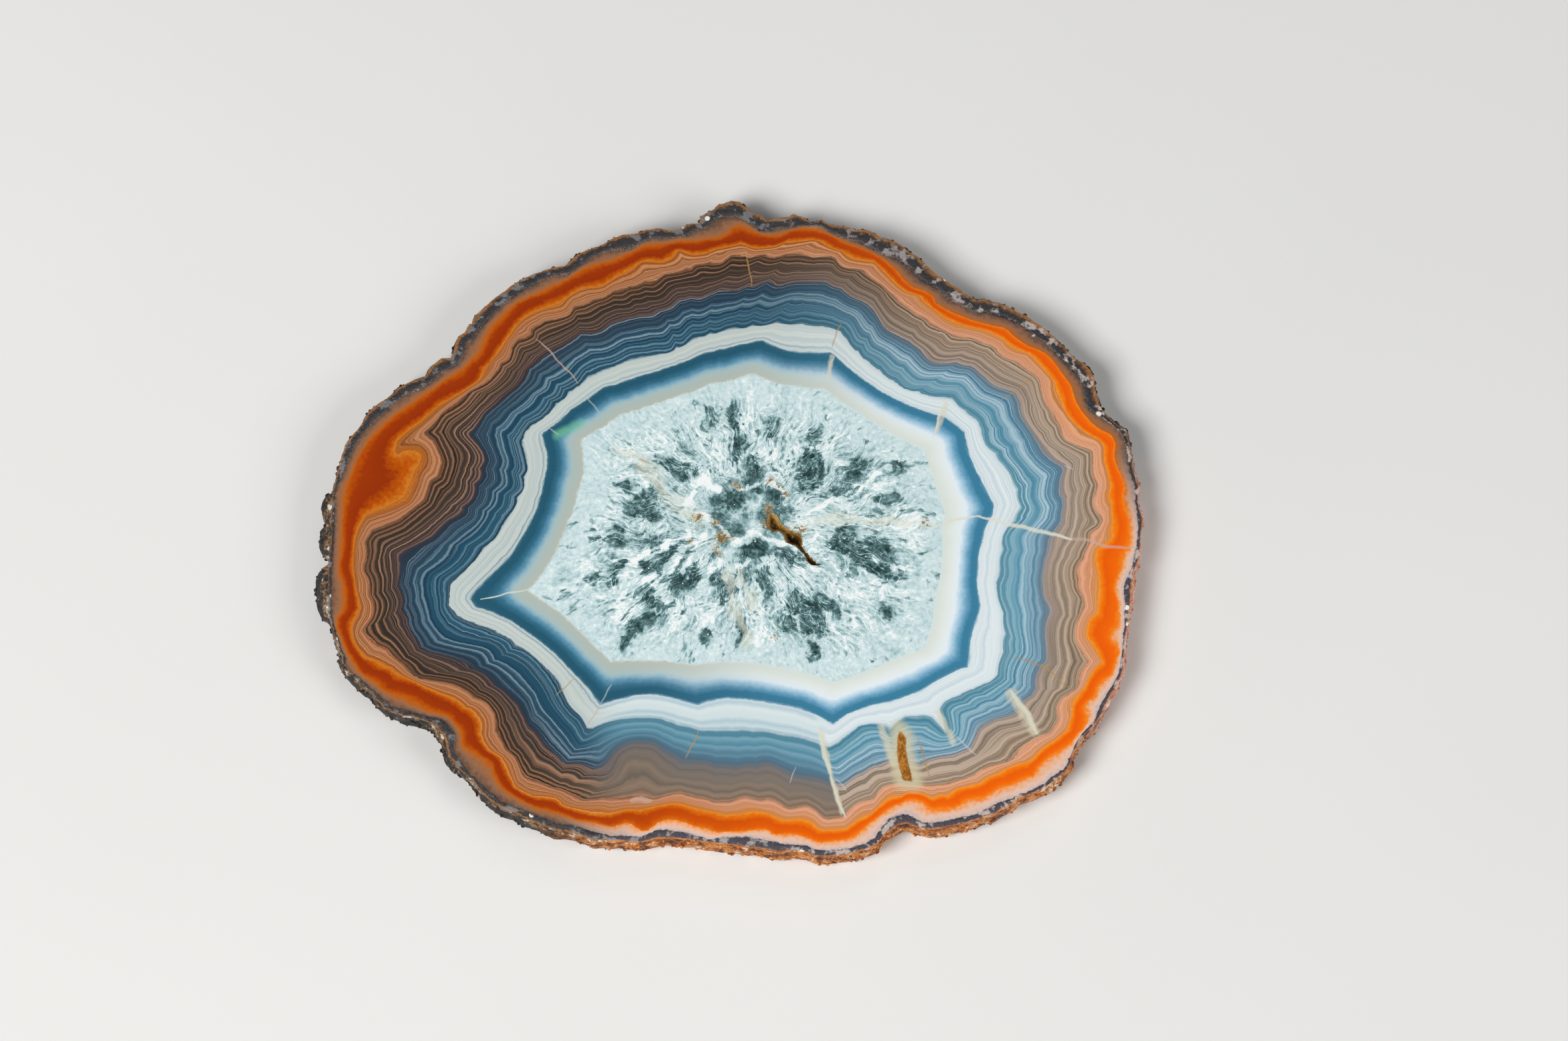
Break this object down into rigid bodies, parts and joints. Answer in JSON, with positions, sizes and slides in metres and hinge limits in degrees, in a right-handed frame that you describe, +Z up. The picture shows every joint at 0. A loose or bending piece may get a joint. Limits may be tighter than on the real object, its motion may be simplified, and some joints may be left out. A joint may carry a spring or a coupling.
{
  "type": "iris agate slice",
  "caption": "Thin polished slice of banded iris agate with orange, brown, blue and white bands, a quartz heart and its rough natural rim, lying flat.",
  "frame": {"origin": "under the middle of the slice, on the lower sawn face that it lies on", "axes": "+Z up, square to the two polished faces; +X along the slice's longest way, to the right in the picture; +Y towards the picture's upper edge"},
  "size_m": [0.0824, 0.068, 0.004],
  "materials": {
    "polished_agate": "polished"
  },
  "bodies": {
    "root": {"agate_slice": "polished_agate"}
  },
  "joints": []
}
